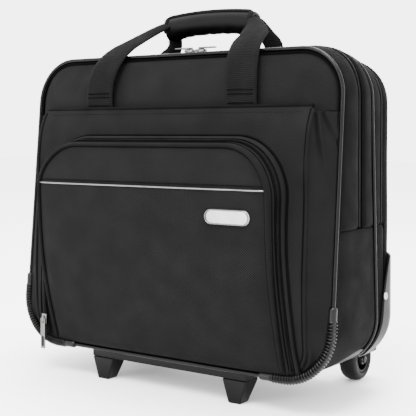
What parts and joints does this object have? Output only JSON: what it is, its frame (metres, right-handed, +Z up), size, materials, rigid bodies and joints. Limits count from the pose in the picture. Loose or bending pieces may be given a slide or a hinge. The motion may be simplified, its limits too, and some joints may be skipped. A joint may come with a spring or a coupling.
{
  "type": "rolling laptop case",
  "caption": "Soft-sided rolling business case with front organizer pocket, webbing carry handle, telescoping trolley, two rear wheels and front feet.",
  "frame": {"origin": "on the floor, at the centre of the bounding box", "axes": "+Z up, -Y the front with the organizer pocket, +X to the right when facing the front"},
  "size_m": [0.434, 0.238, 0.4379],
  "materials": {
    "body_fabric": "matte black polyester twill",
    "lining": "matte grey woven lining",
    "webbing": "ribbed black webbing",
    "piping": "satin black vinyl cord",
    "binding": "fabric covered cord and bound edges",
    "black_plastic": "fine textured black plastic",
    "tyre": "matte black rubber",
    "steel": "satin steel",
    "chrome": "bright nickel",
    "aluminium": "satin anodised",
    "grip_padding": "smooth padded leatherette",
    "zip_tape": "woven zip tape",
    "zip_coil": "satin nylon coil",
    "thread": "black sewing thread"
  },
  "bodies": {
    "case": {"back_panel": "body_fabric", "rear_top_gusset": "body_fabric", "rear_side_left": "body_fabric", "rear_side_right": "body_fabric", "main_rear_gusset": "body_fabric", "side_panel_left": "body_fabric", "side_panel_right": "body_fabric", "base_board": "black_plastic", "divider_panel": "lining", "trolley_lining": "lining", "rear_piping": "piping", "wheel_housing_left": "black_plastic", "wheel_housing_right": "black_plastic", "wheel_axle_left": "steel", "wheel_axle_right": "steel", "foot_bar": "black_plastic", "foot_left": "black_plastic", "foot_right": "black_plastic", "trolley_bezel": "black_plastic", "trolley_bracket": "black_plastic", "trolley_outer_tube_left": "aluminium", "trolley_outer_tube_right": "aluminium", "rear_strap_left": "webbing", "rear_strap_right": "webbing"},
    "front_section": {"front_panel": "body_fabric", "front_piping": "piping", "corner_bumper_left": "black_plastic", "corner_bumper_right": "black_plastic", "front_gusset": "body_fabric", "slip_pocket": "body_fabric", "slip_gusset_left": "body_fabric", "slip_gusset_right": "body_fabric", "organizer_gusset": "body_fabric", "front_strap_left": "webbing", "front_strap_right": "webbing"},
    "organizer_flap": {"flap_panel": "body_fabric", "flap_piping": "binding", "silver_strip": "chrome", "badge": "steel"},
    "carry_handle": {"grip_wrap": "grip_padding", "front_grip_strap": "webbing"},
    "rear_loop": {"rear_grip_strap": "webbing"},
    "zip_car_right": {"main_slider_right": "chrome"},
    "zip_tab_right": {"main_pull_right": "chrome"},
    "zip_car_left": {"main_slider_left": "chrome"},
    "zip_tab_left": {"main_pull_left": "chrome"},
    "laptop_zip_car": {"laptop_slider": "chrome"},
    "laptop_zip_tab": {"laptop_pull": "chrome"},
    "organizer_zip_car": {"organizer_slider": "chrome"},
    "organizer_zip_tab": {"organizer_pull": "chrome"},
    "trolley_stage_1": {"trolley_middle_tube_left": "aluminium", "trolley_middle_tube_right": "aluminium"},
    "trolley_stage_2": {"trolley_inner_tube_left": "aluminium", "trolley_inner_tube_right": "aluminium", "trolley_grip": "black_plastic"},
    "lock_button": {"release_button": "black_plastic"},
    "wheel_left": {"wheel_tyre_left": "tyre", "wheel_hub_left": "black_plastic"},
    "wheel_right": {"wheel_tyre_right": "tyre", "wheel_hub_right": "black_plastic"}
  },
  "joints": [
    {"name": "front_section_tilt", "type": "hinge", "parent": "case", "child": "front_section", "pos_m": [0, -0.084, 0.033], "axis": [1, 0, 0], "range_deg": [0, 15]},
    {"name": "organizer_flap_open", "type": "hinge", "parent": "front_section", "child": "organizer_flap", "pos_m": [0, -0.087, 0.045], "axis": [1, 0, 0], "range_deg": [0, 70]},
    {"name": "carry_handle_lift", "type": "slide", "parent": "front_section", "child": "carry_handle", "axis": [0, 0, 1], "range_m": [-0.012, 0.012], "deforming": ["front_strap_left", "front_strap_right"]},
    {"name": "rear_loop_lift", "type": "slide", "parent": "case", "child": "rear_loop", "axis": [0, 0, 1], "range_m": [-0.012, 0.012], "deforming": ["rear_strap_left", "rear_strap_right"]},
    {"name": "main_zip_right_travel", "type": "slide", "parent": "case", "child": "zip_car_right", "axis": [1, 0, 0], "range_m": [0, 0.1]},
    {"name": "main_pull_right_swing", "type": "hinge", "parent": "zip_car_right", "child": "zip_tab_right", "pos_m": [0.008, -0.017, 0.3909], "axis": [0, -1, 0], "range_deg": [0, 110]},
    {"name": "main_zip_left_travel", "type": "slide", "parent": "case", "child": "zip_car_left", "axis": [-1, 0, 0], "range_m": [0, 0.1]},
    {"name": "main_pull_left_swing", "type": "hinge", "parent": "zip_car_left", "child": "zip_tab_left", "pos_m": [-0.008, -0.017, 0.3909], "axis": [0, 1, 0], "range_deg": [0, 110]},
    {"name": "laptop_zip_travel", "type": "slide", "parent": "case", "child": "laptop_zip_car", "axis": [-1, 0, 0], "range_m": [0, 0.09]},
    {"name": "laptop_pull_swing", "type": "hinge", "parent": "laptop_zip_car", "child": "laptop_zip_tab", "pos_m": [-0.04, 0.038, 0.3789], "axis": [0, -1, 0], "range_deg": [0, 110]},
    {"name": "organizer_zip_travel", "type": "slide", "parent": "front_section", "child": "organizer_zip_car", "axis": [0, -0.1961, 0.9806], "range_m": [0, 0.03]},
    {"name": "organizer_pull_swing", "type": "hinge", "parent": "organizer_zip_car", "child": "organizer_zip_tab", "pos_m": [-0.171, -0.0964, 0.066], "axis": [-1, 0, 0], "range_deg": [0, 110]},
    {"name": "trolley_stage_1_slide", "type": "slide", "parent": "case", "child": "trolley_stage_1", "axis": [0, 0, 1], "range_m": [0, 0.27]},
    {"name": "trolley_stage_2_slide", "type": "slide", "parent": "trolley_stage_1", "child": "trolley_stage_2", "axis": [0, 0, 1], "range_m": [0, 0.27]},
    {"name": "release_button_press", "type": "slide", "parent": "trolley_stage_2", "child": "lock_button", "axis": [0, 0, -1], "range_m": [0, 0.003], "stiffness_N_per_m": 600, "springref_m": -0.0005},
    {"name": "wheel_left_roll", "type": "hinge", "parent": "case", "child": "wheel_left", "pos_m": [-0.153, 0.094, 0.025], "axis": [1, 0, 0], "continuous": true},
    {"name": "wheel_right_roll", "type": "hinge", "parent": "case", "child": "wheel_right", "pos_m": [0.153, 0.094, 0.025], "axis": [1, 0, 0], "continuous": true}
  ],
  "couplings": [
    {"joint": "rear_loop_lift", "follows": "carry_handle_lift", "ratio": 1}
  ]
}
